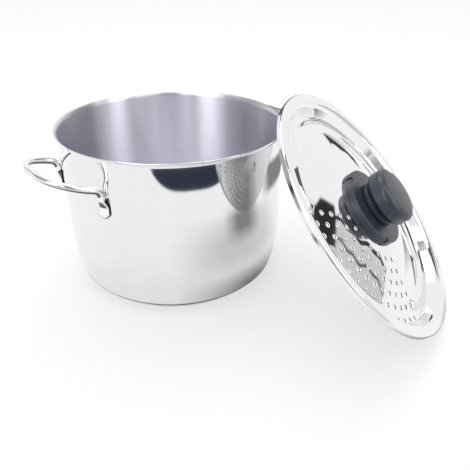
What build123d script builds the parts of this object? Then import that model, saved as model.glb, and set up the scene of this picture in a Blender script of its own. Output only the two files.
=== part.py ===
from build123d import *
import os
from math import asin, atan2, cos, degrees, radians, sin, sqrt

# A stainless pasta pot and its strainer lid, in millimetres.
# The pot stands on z = 0 with its axis on Z and its two wire handles on the X axis.
# The lid is off the pot: it stands on its edge beside the pot and leans back towards it.

# Pot body
bore_radius = 110.0            # inside of the straight wall
pot_wall = 0.8
pot_height = 159.0             # floor to the top of the lip
belly_height = 56.0            # where the straight wall starts to draw in
belly_radius = 155.0
corner_radius = 8.0           # outside radius between the belly and the flat bottom
lip_bend_radius = 5.0
lip_turn = 60.0                # degrees that the pouring lip turns outwards

# Heat-spreading base
cap_wall = 0.6
core_thickness = 4.8
cap_edge_radius = 1.6
core_edge_radius = 1.4
core_clearance = 0.1

# Wire handles
wire_diameter = 6.0
handle_half_span = 43.5        # wire centre to the handle's middle plane
handle_reach = 41.3            # along the slope of the loop
handle_slope = 19.1            # degrees above level
handle_corner_radius = 34.5
handle_bend_radius = 8.5
handle_drop = 29.7             # top of the lip to the level where the loop starts
foot_length = 27.3
foot_width = 10.5
foot_thickness = 3.8
foot_taper = 8.0
foot_toe = 2.5
foot_toe_share = 0.6           # width of the toe's end against the foot's width
foot_trim = 0.4                # metal of the foot that the curve of the wall trims away

# Lid
lid_radius = 127.5
lid_sheet = 0.7
lid_skirt = 4.6                # top of the flange to the lower edge of the skirt
lid_edge_radius = 2.0
lid_flange_width = 6.5         # lid's outer edge to the start of the plug's bend
plug_depth = 11.6              # top of the flange to the floor at the foot of the plug wall
plug_slope = 65.0              # cone of the plug wall, which centres itself in the pot's lip
plug_bend_radius = 7.0
plug_foot_radius = 2.2
seat_radius = 39.5             # flat middle of the panel, under the knob
seat_bend_radius = 20.0
dome_radius = 420.0
dome_start = 5.6               # slope of the panel beside the seat, in degrees
dome_end = 13.2                # slope of the panel beside the floor, in degrees
floor_bend_radius = 20.0
rib_middle_radius = 97.0
rib_section_radius = 11.0
rib_rise = 3.3                 # floor to the crest of the rib
rib_end_gap = 5.8              # degrees from the last strainer hole to the rib's round end

# Strainer holes, in arcs about the lid's axis
hole_diameter = 3.6
hole_pitch = 11.43             # along each arc
first_arc_radius = 52.6
arc_pitch = 10.92
inner_arcs = 5
first_arc_holes = 7
holes_added_per_arc = 2
rim_arc_holes = 16
rim_arc_margin = 0.2           # metal between the rim arc's holes and the foot of the plug wall
sector_middle = 197.1          # degrees about the lid's axis

# How the lid stands
stand_azimuth = -59.8          # side of the pot where the lid stands, in degrees
face_azimuth = -61.3           # where the knob points, in degrees
lean_tilt = 47.65              # lid axis from the vertical, in degrees
lean_gap = 25.2                # from the pot's lip to the plane of the flange's top

# Knob
knob_base_radius = 38.2
knob_base_rim = 5.0
knob_base_bevel = 1.2
knob_base_crown = 1.6          # rise from the bevel to the grip
notch_width = 3.0
notch_depth = 3.2
notch_floor = 1.2
notch_count = 3
notch_angle = 102.0
neck_radius = 22.0
neck_land = 4.2                # straight stretch above the base
grip_radius = 26.8
grip_flare = 6.0
grip_band = 7.0
grip_edge_radius = 6.5
grip_crown = 7.0               # slope of the domed top at its edge, in degrees
groove_depth = 0.6
groove_width = 0.9
spigot_radius = 9.0
spigot_length = 2.4
spigot_clearance = 0.2

# Knob fastening
screw_diameter = 5.0
screw_clearance = 0.15
screw_head_radius = 5.6
screw_head_height = 3.4
screw_head_edge = 1.2
screw_slot_width = 1.2
screw_slot_depth = 1.6
screw_engagement = 11.0
washer_radius = 8.0
washer_thickness = 1.2
insert_radius = 4.6
insert_length = 15.0
insert_flange_radius = 6.2
insert_flange = 1.6
insert_clearance = 0.05
cut_overrun = 1.0

# Values that follow from the sizes above
wall_radius = bore_radius + pot_wall
base_height = cap_wall + core_thickness
belly_fall = belly_height - base_height - corner_radius
belly_turn = degrees(asin(belly_fall / (belly_radius - corner_radius)))
belly_inset = belly_radius - (belly_radius - corner_radius) * cos(radians(belly_turn))
base_radius = wall_radius - belly_inset
lip_neutral = lip_bend_radius + pot_wall / 2
lip_start = pot_height - pot_wall / 2 - lip_neutral * sin(radians(lip_turn))
lip_radius = wall_radius + lip_neutral * (1 - cos(radians(lip_turn)))
handle_height = pot_height - handle_drop
plug_bends = plug_foot_radius + plug_bend_radius
plug_wall = (plug_depth - plug_bends * (1 - cos(radians(plug_slope)))) / sin(radians(plug_slope))
plug_run = plug_bends * sin(radians(plug_slope)) + plug_wall * cos(radians(plug_slope))
floor_radius = lid_radius - lid_flange_width - plug_run
dome_fall = dome_radius * (cos(radians(dome_start)) - cos(radians(dome_end)))
dome_run = dome_radius * (sin(radians(dome_end)) - sin(radians(dome_start)))
seat_fall = seat_bend_radius * (1 - cos(radians(dome_start)))
floor_fall = floor_bend_radius * (1 - cos(radians(dome_end)))
floor_run = floor_bend_radius * sin(radians(dome_end))
seat_run = seat_bend_radius * sin(radians(dome_start))
seat_level = dome_fall + seat_fall + floor_fall - plug_depth
dome_end_radius = seat_radius + seat_run + dome_run
floor_width = floor_radius - dome_end_radius - floor_run
base_top = knob_base_rim + knob_base_bevel + knob_base_crown
grip_top = neck_land + grip_flare + grip_band


def sheet_section(start, moves, thickness, round_end=False):
    """Face of a sheet that follows a tangent path, with its thickness on the left of the path.

    start is the path's first point in radius and height, and the path sets out level. A move of
    one number is a straight run. A move of two is an arc: its radius and its turn in degrees,
    positive to the left.
    """
    x, y = start
    heading = 0.0
    left = (0.0, 1.0)
    near, far = [], []
    first = (x, y), (x, y + thickness)
    for move in moves:
        if len(move) == 1:
            ends = (x + move[0] * left[1], y - move[0] * left[0])
            near.append(Line((x, y), ends))
            far.append(Line((x + thickness * left[0], y + thickness * left[1]),
                            (ends[0] + thickness * left[0], ends[1] + thickness * left[1])))
            x, y = ends
            continue
        radius, turn = move
        side = 1 if turn > 0 else -1
        centre = (x + side * radius * left[0], y + side * radius * left[1])
        begin = degrees(atan2(y - centre[1], x - centre[0]))
        near.append(CenterArc(centre, radius, begin, turn))
        far.append(CenterArc(centre, radius - side * thickness, begin, turn))
        heading += turn
        left = (-sin(radians(heading)), cos(radians(heading)))
        x, y = centre[0] - side * radius * left[0], centre[1] - side * radius * left[1]
    last = (x, y), (x + thickness * left[0], y + thickness * left[1])
    tip = ((last[0][0] + last[1][0] + thickness * left[1]) / 2,
           (last[0][1] + last[1][1] - thickness * left[0]) / 2)
    end = ThreePointArc(last[0], tip, last[1]) if round_end else Line(*last)
    return make_face([Line(*first)] + near + [end] + far)


def turned(face, arc=360.0, start=0.0):
    """Solid of a section drawn in radius and height, turned about Z."""
    return Rot(0, 0, start) * revolve(Plane.XZ * face, Axis.Z, arc)


def disc(radius, height, level=0.0):
    """Upright cylinder that stands at a level."""
    return Pos(0, 0, level) * extrude(Circle(radius), height)


# Pot
def make_pot_shell():
    """Deep-drawn body: flat bottom, rounded corner, long belly, straight wall and flared lip."""
    moves = [(base_radius,), (corner_radius, 90 - belly_turn), (belly_radius, belly_turn),
             (lip_start - belly_height,), (lip_bend_radius, -lip_turn)]
    return turned(sheet_section((0, base_height), moves, pot_wall, round_end=True))


def make_base_cap():
    """Steel capsule pressed round the heat-spreading disc."""
    moves = [(base_radius - cap_edge_radius,), (cap_edge_radius, 90), (base_height - cap_edge_radius,)]
    return turned(sheet_section((0, 0), moves, cap_wall))


def make_base_core():
    """Aluminium heat-spreading disc, closed in between the capsule and the pot."""
    core = disc(base_radius - cap_wall - core_clearance, core_thickness, cap_wall)
    return fillet(core.edges().group_by(Axis.Z)[0], core_edge_radius)


def handle_wire(foot_radius, z_low):
    """Round wire of the handle on the -X side: two bends and a loop that slopes upwards."""
    slope = radians(handle_slope)
    x_foot = -foot_radius * cos(asin(handle_half_span / foot_radius))
    x_tip = x_foot - handle_reach * cos(slope)
    z_tip = handle_height + handle_reach * sin(slope)
    ends = [(x_foot, z_low), (x_foot, handle_height), (x_tip, z_tip)]
    points = [(x, -handle_half_span, z) for x, z in ends]
    points += [(x, handle_half_span, z) for x, z in reversed(ends)]
    radii = [handle_bend_radius, handle_corner_radius, handle_corner_radius, handle_bend_radius]
    path = FilletPolyline(*points, radius=radii)
    return sweep(Plane(origin=path @ 0, z_dir=path % 0) * Circle(wire_diameter / 2), path)


def handle_foot(foot_radius, z_low, turn):
    """Flattened end of the wire below a bend, tapered from round to flat and narrowed at its toe."""
    flat_radius = wall_radius + foot_thickness / 2 - foot_trim
    z_toe = handle_height - foot_length
    flat = Ellipse(foot_thickness / 2, foot_width / 2)
    toe = Ellipse(foot_thickness / 2, foot_toe_share * foot_width / 2)
    sections = [Pos(flat_radius, 0, z_toe) * toe, Pos(flat_radius, 0, z_toe + foot_toe) * flat,
                Pos(flat_radius, 0, z_low - foot_taper) * flat,
                Pos(foot_radius, 0, z_low) * Circle(wire_diameter / 2)]
    return Rot(0, 0, turn) * loft(sections, ruled=True)


def make_handle():
    """Bent wire handle on the -X side, with its two feet trimmed to the curve of the wall."""
    foot_radius = wall_radius + wire_diameter / 2
    half_angle = degrees(asin(handle_half_span / foot_radius))
    z_low = handle_height - handle_bend_radius
    handle = handle_wire(foot_radius, z_low)
    for turn in (180 - half_angle, 180 + half_angle):
        handle += handle_foot(foot_radius, z_low, turn)
    return handle - disc(wall_radius, pot_height)


# Lid, drawn with its axis on Z and the top of its flange on z = 0
def rib_body(section_radius):
    """Solid C about the lid's axis with a round section and half a ball at each end."""
    last_hole = degrees((rim_arc_holes - 1) * hole_pitch / rim_arc_radius()) / 2
    start = sector_middle + last_hole + rib_end_gap
    arc = 360 - 2 * (last_hole + rib_end_gap)
    level = rib_rise - plug_depth - rib_section_radius
    section = Pos(rib_middle_radius, level) * Circle(section_radius)
    on_face = (Align.CENTER, Align.CENTER, Align.MIN)
    half_ball = Sphere(section_radius, arc_size1=0, align=on_face)
    first = Rot(0, 0, start) * Pos(rib_middle_radius, 0, level) * Rot(90, 0, 0) * half_ball
    last = Rot(0, 0, start + arc) * Pos(rib_middle_radius, 0, level) * Rot(-90, 0, 0) * half_ball
    return turned(section, arc, start) + first + last


def rib_drawn():
    """The C-shaped rib as a solid bump, with its foot inside the sheet of the panel."""
    foot = sqrt(rib_section_radius ** 2 - (rib_section_radius - rib_rise) ** 2) + cut_overrun
    near, far = rib_middle_radius - foot, rib_middle_radius + foot
    slope = asin(sin(radians(dome_end)) - (dome_end_radius - near) / dome_radius)
    level = floor_fall - plug_depth + dome_radius * (cos(slope) - cos(radians(dome_end)))
    room = Polyline((near, level - lid_sheet / 2), (far, -plug_depth - lid_sheet / 2),
                    (far, 0), (near, 0), close=True)
    return rib_body(rib_section_radius) & turned(make_face(room))


def rim_arc_radius():
    """Radius of the outermost arc of strainer holes, beside the foot of the plug wall."""
    return floor_radius - rim_arc_margin - hole_diameter / 2


def strainer_holes():
    """Cutters for the strainer holes: arcs of evenly pitched holes about one middle line."""
    arcs = [(first_arc_radius + index * arc_pitch, first_arc_holes + index * holes_added_per_arc)
            for index in range(inner_arcs)]
    arcs.append((rim_arc_radius(), rim_arc_holes))
    cutters = []
    for radius, count in arcs:
        for index in range(count):
            angle = sector_middle + degrees((index - (count - 1) / 2) * hole_pitch / radius)
            place = Rot(0, 0, angle) * Pos(radius, 0, 0)
            cutters.append(place * disc(hole_diameter / 2, 2 * plug_depth, -2 * plug_depth))
    return cutters


def make_lid_shell():
    """Stamped strainer lid: skirt, flange, plug wall, domed panel, C-shaped rib and holes."""
    moves = [(seat_radius,), (seat_bend_radius, -dome_start), (dome_radius, dome_start - dome_end),
             (floor_bend_radius, dome_end), (floor_width,), (plug_foot_radius, plug_slope),
             (plug_wall,), (plug_bend_radius, -plug_slope), (lid_flange_width - lid_edge_radius,),
             (lid_edge_radius - lid_sheet, -90), (lid_skirt - lid_edge_radius,)]
    lid = turned(sheet_section((0, seat_level - lid_sheet), moves, lid_sheet, round_end=True))
    lid = lid + rib_drawn() - rib_body(rib_section_radius - lid_sheet)
    lid -= disc(screw_diameter / 2 + screw_clearance, 2 * plug_depth, -2 * plug_depth)
    return lid - strainer_holes()


# Knob, on the lid's axis
def make_knob_base():
    """Heat-resistant foot of the knob: a disc with a bevelled, notched rim and a crowned top."""
    shoulder = knob_base_radius - knob_base_bevel
    rim = CenterArc((shoulder, knob_base_rim), knob_base_bevel, 0, 90)
    crown = knob_base_rim + knob_base_bevel
    lines = Polyline((0, 0), (knob_base_radius, 0), (knob_base_radius, knob_base_rim))
    top = Polyline((shoulder, crown), (neck_radius, base_top), (0, base_top), (0, 0))
    base = turned(make_face([lines, rim, top]))
    base -= disc(spigot_radius + spigot_clearance, base_top, base_top - spigot_length - spigot_clearance)
    base -= disc(screw_diameter / 2 + screw_clearance, base_top)
    for index in range(notch_count):
        angle = notch_angle + index * 360 / notch_count
        notch = Box(2 * notch_depth, notch_width, knob_base_rim - notch_floor,
                    align=(Align.CENTER, Align.CENTER, Align.MIN))
        base -= Rot(0, 0, angle) * Pos(knob_base_radius, 0, notch_floor) * notch
    return Pos(0, 0, seat_level) * base


def make_knob_grip():
    """Grip of the knob: grooved neck, flare, straight band, rounded edge and domed top."""
    band_foot = neck_land + grip_flare
    edge_centre = grip_radius - grip_edge_radius
    tip = (edge_centre + grip_edge_radius * sin(radians(grip_crown)),
           grip_top + grip_edge_radius * cos(radians(grip_crown)))
    crown_radius = tip[0] / sin(radians(grip_crown))
    crown_centre = tip[1] - crown_radius * cos(radians(grip_crown))
    lines = Polyline((0, 0), (neck_radius, 0), (neck_radius, neck_land))
    flare = Spline((neck_radius, neck_land), (grip_radius, band_foot), tangents=[(0, 1), (0, 1)])
    band = Line((grip_radius, band_foot), (grip_radius, grip_top))
    edge = CenterArc((edge_centre, grip_top), grip_edge_radius, 0, 90 - grip_crown)
    crown = CenterArc((0, crown_centre), crown_radius, 90 - grip_crown, grip_crown)
    axis = Line((0, crown_centre + crown_radius), (0, 0))
    grip = turned(make_face([lines, flare, band, edge, crown, axis]))
    grip += disc(spigot_radius, spigot_length, -spigot_length)
    groove = disc(grip_radius, groove_width, neck_land - groove_width)
    grip -= groove - disc(neck_radius - groove_depth, pot_height)
    grip -= disc(insert_radius + insert_clearance, insert_length + insert_clearance, -spigot_length)
    grip -= disc(insert_flange_radius + insert_clearance, insert_flange, -spigot_length)
    return Pos(0, 0, seat_level + base_top) * grip


def make_knob_insert():
    """Threaded brass insert moulded into the grip, with a flange at its mouth."""
    insert = disc(insert_radius, insert_length) + disc(insert_flange_radius, insert_flange)
    insert -= disc(screw_diameter / 2 + screw_clearance, insert_length)
    return Pos(0, 0, seat_level + base_top - spigot_length) * insert


def make_knob_washer():
    """Steel washer between the screw's head and the underside of the panel."""
    washer = disc(washer_radius, washer_thickness)
    washer -= disc(screw_diameter / 2 + screw_clearance, washer_thickness)
    return Pos(0, 0, seat_level - lid_sheet - washer_thickness) * washer


def make_knob_screw():
    """Slotted pan-head screw that goes up through the panel and the base into the insert."""
    head = disc(screw_head_radius, screw_head_height)
    head = fillet(head.edges().group_by(Axis.Z)[0], screw_head_edge)
    slot = Box(2 * screw_head_radius, screw_slot_width, 2 * screw_slot_depth)
    reach = washer_thickness + lid_sheet + base_top - spigot_length + screw_engagement
    screw = head - slot + disc(screw_diameter / 2, reach, screw_head_height)
    return Pos(0, 0, seat_level - lid_sheet - washer_thickness - screw_head_height) * screw


def standing_place():
    """Place of the lid's own frame where it stands on its edge and leans towards the pot."""
    tilt, side = radians(lean_tilt), radians(face_azimuth)
    height = lid_radius * sin(tilt) + lid_skirt * cos(tilt)
    distance = lip_radius + (lean_gap - cos(tilt) * (height - pot_height)) / sin(tilt)
    bearing = radians(stand_azimuth)
    origin = (distance * cos(bearing), distance * sin(bearing), height)
    axis = (sin(tilt) * cos(side), sin(tilt) * sin(side), cos(tilt))
    return Plane(origin=origin, x_dir=(-sin(side), cos(side), 0), z_dir=axis).location


handle = make_handle()
stand = standing_place()
nodes = {
    "pot_shell": make_pot_shell(),
    "base_cap": make_base_cap(),
    "base_core": make_base_core(),
    "handle_left": handle,
    "handle_right": Rot(0, 0, 180) * handle,
    "lid_shell": stand * make_lid_shell(),
    "knob_base": stand * make_knob_base(),
    "knob_grip": stand * make_knob_grip(),
    "knob_insert": stand * make_knob_insert(),
    "knob_washer": stand * make_knob_washer(),
    "knob_screw": stand * make_knob_screw(),
}

os.makedirs("parts", exist_ok=True)
for name, solid in nodes.items():
    export_step(solid, "parts/" + name + ".step")
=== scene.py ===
"""Dressed model of a steel pasta pot and its strainer lid, in metres and in the pot's own frame."""
import logging
import math
from collections.abc import Callable
from dataclasses import dataclass, field
from enum import Enum

import bpy
import numpy as np
from mathutils import Matrix, Vector
from mathutils.geometry import delaunay_2d_cdt


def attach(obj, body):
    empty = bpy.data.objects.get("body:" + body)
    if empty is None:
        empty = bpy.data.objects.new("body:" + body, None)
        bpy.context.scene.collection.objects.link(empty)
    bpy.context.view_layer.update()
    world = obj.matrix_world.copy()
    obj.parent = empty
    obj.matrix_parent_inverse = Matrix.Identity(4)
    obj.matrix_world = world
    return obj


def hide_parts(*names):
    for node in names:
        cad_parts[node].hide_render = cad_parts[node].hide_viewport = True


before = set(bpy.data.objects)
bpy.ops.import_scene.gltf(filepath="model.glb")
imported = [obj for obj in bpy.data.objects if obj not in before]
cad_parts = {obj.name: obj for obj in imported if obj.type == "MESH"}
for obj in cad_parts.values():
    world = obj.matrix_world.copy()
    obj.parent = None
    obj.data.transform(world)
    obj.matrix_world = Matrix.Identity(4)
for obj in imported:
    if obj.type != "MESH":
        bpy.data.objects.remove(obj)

log = logging.getLogger("pasta_pot")
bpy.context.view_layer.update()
Pair = tuple[float, float]
Triple = tuple[float, float, float]
TAU = 2 * math.pi
NOISE_MIDDLE = 0.5
CAP_STEPS = 6
CLOTH_COLUMNS = 60


# Shader expressions

class Tap:
    """Output socket of a node tree that can be used in Python expressions."""

    def __init__(self, recipe: "Recipe", socket: bpy.types.NodeSocket) -> None:
        """Keep the tree and the socket."""
        self.recipe = recipe
        self.socket = socket

    def _math(self, operation: str, *values: "Tap | float") -> "Tap":
        """Add a Math node.

        Args:
            operation: name of the Math node's operation.
            values: its inputs in order.
        Returns:
            The node's result.
        """
        inputs = {index: value for index, value in enumerate(values)}
        return self.recipe.node("ShaderNodeMath", {"operation": operation}, inputs)

    @staticmethod
    def operator(operation: str, swapped: bool = False) -> "Callable[[Tap, Tap | float], Tap]":
        """Method that works out an operator with a Math node.

        Args:
            operation: name of the Math node's operation.
            swapped: whether the other value comes first.
        Returns:
            The method.
        """
        def method(self: "Tap", other: "Tap | float") -> "Tap":
            """Result of the operator on the two values."""
            return self._math(operation, *((other, self) if swapped else (self, other)))
        return method

    __add__, __radd__ = operator("ADD"), operator("ADD", True)
    __sub__, __rsub__ = operator("SUBTRACT"), operator("SUBTRACT", True)
    __mul__, __rmul__ = operator("MULTIPLY"), operator("MULTIPLY", True)
    __truediv__, __rtruediv__ = operator("DIVIDE"), operator("DIVIDE", True)
    __pow__ = operator("POWER")

    def capped(self) -> "Tap":
        """The value, and 1 where it is more."""
        return self._math("MINIMUM", self, 1.0)

    def floored(self) -> "Tap":
        """The value, and 0 where it is less."""
        return self._math("MAXIMUM", self, 0.0)

    def over(self, limit: float) -> "Tap":
        """1 where the value is above the limit, and 0 elsewhere."""
        return self._math("GREATER_THAN", self, limit)

    def bearing(self, other: "Tap") -> "Tap":
        """Angle of the point (other, self) about the origin."""
        return self._math("ARCTAN2", self, other)


class Recipe:
    """Node tree of one material, filled from code."""

    def __init__(self, name: str) -> None:
        """Start an empty material of that name."""
        self.material = bpy.data.materials.new(name)
        self.material.use_nodes = True
        self.tree = self.material.node_tree
        self.tree.nodes.clear()

    def node(self, kind: str, settings: "dict | None" = None,
             inputs: "dict | None" = None, out: "int | str" = 0) -> Tap:
        """Add any node.

        Args:
            kind: the node's type.
            settings: its properties, and "stops" for a ramp as pairs of place and colour.
            inputs: value or Tap of each input, by name or number.
            out: name or number of the output to hand back.
        Returns:
            The chosen output.
        """
        made = self.tree.nodes.new(kind)
        for key, value in (settings or {}).items():
            if key == "stops":
                ramp = made.color_ramp
                while len(ramp.elements) < len(value):
                    ramp.elements.new(0.5)
                for element, (place, colour) in zip(ramp.elements, value):
                    element.position, element.color = place, colour
            else:
                setattr(made, key, value)
        for key, value in (inputs or {}).items():
            if isinstance(value, Tap):
                self.tree.links.new(value.socket, made.inputs[key])
            else:
                made.inputs[key].default_value = value
        return Tap(self, made.outputs[out])

    def parts(self, vector: Tap) -> "tuple[Tap, Tap, Tap]":
        """The three values of a vector."""
        sockets = self.node("ShaderNodeSeparateXYZ", {}, {0: vector}).socket.node.outputs
        return tuple(Tap(self, sockets[index]) for index in range(3))

    def point(self) -> Tap:
        """The Object coordinates of a point, in metres."""
        return self.node("ShaderNodeTexCoord", out="Object")

    def plan(self) -> "tuple[Tap, Tap]":
        """The two coordinates of the piece's own plan map."""
        return self.parts(self.node("ShaderNodeUVMap", {"uv_map": "plan"}, out="UV"))[:2]

    def vector(self, x: "Tap | float", y: "Tap | float", z: "Tap | float" = 0.0) -> Tap:
        """Vector of three values."""
        return self.node("ShaderNodeCombineXYZ", {}, {0: x, 1: y, 2: z})

    def noise(self, vector: Tap, scale: float, detail: float = 2.0) -> Tap:
        """Noise between about 0.3 and 0.7 on a vector."""
        return self.node("ShaderNodeTexNoise", {"noise_dimensions": "3D"},
                         {"Vector": vector, "Scale": scale, "Detail": detail}, "Fac")

    def blend(self, factor: Tap, low: "tuple[float, ...]", high: "tuple[float, ...]") -> Tap:
        """Colour between two colours."""
        return self.node("ShaderNodeMix", {"data_type": "RGBA"},
                         {0: factor, 6: (*low, 1.0), 7: (*high, 1.0)}, 2)

    def bump(self, height: Tap, strength: float, distance: float, **below: Tap) -> Tap:
        """Normal bent by a height, on top of another Normal where one is given."""
        return self.node("ShaderNodeBump", {}, {"Height": height, "Strength": strength,
                                                "Distance": distance, **below}, "Normal")

    def surface(self, **inputs: "Tap | float | tuple[float, ...]") -> bpy.types.Material:
        """Finish the material with a Principled shader.

        Args:
            inputs: its sockets, with underscores for the spaces in their names.
        Returns:
            The material.
        """
        named = {key.replace("_", " "): value for key, value in inputs.items()}
        shader = self.node("ShaderNodeBsdfPrincipled", {}, named)
        self.finish(shader)
        return self.material

    def finish(self, shader: Tap) -> None:
        """Link a shader to the material's output."""
        end = self.tree.nodes.new("ShaderNodeOutputMaterial")
        self.tree.links.new(shader.socket, end.inputs["Surface"])


# Finishes

class Grain(Enum):
    """Way that the polishing lines of a steel surface run."""

    ROUND = "round the upright axis, across its height"
    RINGS = "rings about the middle of a disc"
    NONE = "no lines"


@dataclass(frozen=True)
class Steel:
    """Stainless steel with a mirror or a brushed finish."""

    name: str
    tint: Triple = (0.90, 0.90, 0.91)
    shade: Triple = (0.84, 0.84, 0.86)
    roughness: float = 0.08
    smear: float = 0.06
    grain: Grain = Grain.NONE
    line_pitch: float = 0.00022
    line_strength: float = 0.0
    line_depth: float = 0.00002
    wave_strength: float = 0.02
    wave_depth: float = 0.002
    cloud_scale: float = 38.0
    speck_scale: float = 620.0
    wave_scale: float = 9.0
    wave_gain: float = 2.0
    turn_scale: float = 0.8
    tone_start: float = 0.35
    tone_gain: float = 1.6
    cloud_gain: float = 0.5
    line_smear_share: float = 0.5
    stretch: float = 0.0
    stretch_turn: float = 0.25

    def make(self) -> bpy.types.Material:
        """Build the material: cloudy polish, fine lines across the grain and slight waviness."""
        recipe = Recipe(self.name)
        point = recipe.point()
        cloud = recipe.noise(point, self.cloud_scale, 3.0)
        speck = recipe.noise(point, self.speck_scale, 2.0)
        height = recipe.noise(point, self.wave_scale, 1.0) * self.wave_gain
        if self.grain is Grain.ROUND:
            x, y, z = recipe.parts(point)
            turn = y.bearing(x) * self.turn_scale
            lines = recipe.noise(recipe.vector(turn, z / self.line_pitch), 1.0, 3.0)
        elif self.grain is Grain.RINGS:
            u, v = recipe.plan()
            radius = (u * u + v * v) ** 0.5
            turn = v.bearing(u) * self.turn_scale
            lines = recipe.noise(recipe.vector(radius / self.line_pitch, turn), 1.0, 3.0)
        else:
            lines = speck
        line_smear = (lines - NOISE_MIDDLE) * self.smear * self.line_smear_share
        rough = self.roughness + (cloud - NOISE_MIDDLE) * self.smear + line_smear
        fine = recipe.bump(lines, self.line_strength, self.line_depth)
        wavy = recipe.bump(height, self.wave_strength, self.wave_depth, Normal=fine)
        tone = (lines - self.tone_start) * self.tone_gain
        tone = tone + (cloud - NOISE_MIDDLE) * self.cloud_gain
        return recipe.surface(Base_Color=recipe.blend(tone, self.shade, self.tint), Metallic=1.0,
                              Roughness=rough, Normal=wavy, Anisotropic=self.stretch,
                              Anisotropic_Rotation=self.stretch_turn)


@dataclass(frozen=True)
class Wire:
    """Polished steel wire, with painted shade underneath and along the edges of its feet."""

    name: str = "steel_polished_wire"
    tint: Triple = (0.90, 0.90, 0.92)
    # Colour of the painted shade underneath the wire and along the edges of its feet.
    dull: Triple = (0.10, 0.10, 0.115)
    roughness: float = 0.09
    smear: float = 0.06
    dull_roughness: float = 0.15
    bend_height: float = 0.121
    under_start: float = -0.04
    under_gain: float = 5.0
    patchiness: float = 0.8
    foot_edge_shade_start: float = 0.40
    foot_edge_shade_gain: float = 2.0
    cloud_scale: float = 90.0
    speck_scale: float = 900.0
    speck_strength: float = 0.05
    speck_depth: float = 0.00002

    def make(self) -> bpy.types.Material:
        """Build the material.

        The painted shade rises with the downward lean of the surface, and below the bends with how
        far the surface turns away from the pot's radius, along the sides of the feet at the wall.

        Returns:
            The material.
        """
        recipe = Recipe(self.name)
        point = recipe.point()
        x, y, z = recipe.parts(point)
        nx, ny, nz = recipe.parts(recipe.node("ShaderNodeTexCoord", out="Normal"))
        cloud = recipe.noise(point, self.cloud_scale, 3.0)
        patches = (cloud - NOISE_MIDDLE) * self.patchiness
        # Painted shade where the surface faces down, broken up by noise.
        under = ((self.under_start - nz) * self.under_gain + patches).capped().floored()
        outward = (nx * x + ny * y) / (x * x + y * y) ** 0.5
        # The seam mask is painted shade along the sides of the feet below the bends, where they meet
        # the pot's wall.
        seam = ((self.foot_edge_shade_start - outward) * self.foot_edge_shade_gain).capped().floored()
        seam = seam * (self.bend_height - z).over(0.0)
        share = (under + seam).capped()
        speck = recipe.noise(point, self.speck_scale, 2.0)
        rough = self.roughness + (cloud - NOISE_MIDDLE) * self.smear + share * self.dull_roughness
        return recipe.surface(Base_Color=recipe.blend(share, self.tint, self.dull), Metallic=1.0,
                              Roughness=rough,
                              Normal=recipe.bump(speck, self.speck_strength, self.speck_depth))


@dataclass(frozen=True)
class Bakelite:
    """Moulded dark phenolic with a satin skin."""

    name: str = "bakelite_satin"
    dark: Triple = (0.020, 0.025, 0.038)
    pale: Triple = (0.034, 0.042, 0.060)
    roughness: float = 0.36
    gloss: float = 0.5
    flow_scale: float = 55.0
    flow_rise: float = 0.4
    flow_smear: float = 0.18
    stipple_scale: float = 2600.0
    stipple_smear: float = 0.10
    stipple_strength: float = 0.35
    stipple_depth: float = 0.00006

    def make(self) -> bpy.types.Material:
        """Build the material: faint flow marks, fine stipple and a satin gloss that varies."""
        recipe = Recipe(self.name)
        point = recipe.point()
        x, y, z = recipe.parts(point)
        flow = recipe.noise(recipe.vector(x, y, z * self.flow_rise), self.flow_scale, 3.0)
        stipple = recipe.noise(point, self.stipple_scale, 2.0)
        rough = self.roughness + (flow - NOISE_MIDDLE) * self.flow_smear
        rough = rough + (stipple - NOISE_MIDDLE) * self.stipple_smear
        return recipe.surface(Base_Color=recipe.blend(flow, self.dark, self.pale), Roughness=rough,
                              Specular_IOR_Level=self.gloss,
                              Normal=recipe.bump(stipple, self.stipple_strength, self.stipple_depth))


@dataclass(frozen=True)
class PlainMetal:
    """Soft metal of a piece that is closed in, such as brass or aluminium."""

    name: str
    tint: Triple
    shade: Triple
    roughness: float = 0.32
    smear: float = 0.2
    bloom_scale: float = 120.0
    line_scale: float = 700.0
    line_rise: float = 9.0
    line_strength: float = 0.2
    line_depth: float = 0.00003

    def make(self) -> bpy.types.Material:
        """Build the material: turned lines and a dull bloom."""
        recipe = Recipe(self.name)
        point = recipe.point()
        x, y, z = recipe.parts(point)
        bloom = recipe.noise(point, self.bloom_scale, 3.0)
        lines = recipe.noise(recipe.vector(x, y, z * self.line_rise), self.line_scale, 2.0)
        rough = self.roughness + (bloom - NOISE_MIDDLE) * self.smear
        return recipe.surface(Base_Color=recipe.blend(bloom, self.shade, self.tint), Metallic=1.0,
                              Roughness=rough,
                              Normal=recipe.bump(lines, self.line_strength, self.line_depth))


# Surfaces

def unit(vectors: np.ndarray) -> np.ndarray:
    """Vectors along the last axis, brought to length 1."""
    return vectors / np.maximum(np.linalg.norm(vectors, axis=-1, keepdims=True), 1e-12)


def round_arms(angles: np.ndarray) -> np.ndarray:
    """Cosine and sine of each angle, as rows."""
    return np.stack([np.cos(angles), np.sin(angles)], 1)


def smooth_step(share: np.ndarray) -> np.ndarray:
    """Share s turned to s squared times (3 - 2 s)."""
    return share * share * (3 - 2 * share)


def grid_quads(rows: int, columns: int, closed: bool = True) -> np.ndarray:
    """Four-sided faces between rows of points.

    Args:
        rows: number of rows.
        columns: number of points in each row.
        closed: whether each row goes all the way round.
    Returns:
        Rows of corner numbers, face by face.
    """
    steps = columns if closed else columns - 1
    row, step = np.meshgrid(np.arange(rows - 1), np.arange(steps), indexing="ij")
    near, far, after = row * columns, (row + 1) * columns, (step + 1) % columns
    return np.stack([near + step, near + after, far + after, far + step], 2).reshape(-1, 4)


def add_object(name: str, data: bpy.types.ID) -> bpy.types.Object:
    """Make an object of some data and link it to the scene."""
    made = bpy.data.objects.new(name, data)
    bpy.context.scene.collection.objects.link(made)
    return made


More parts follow.
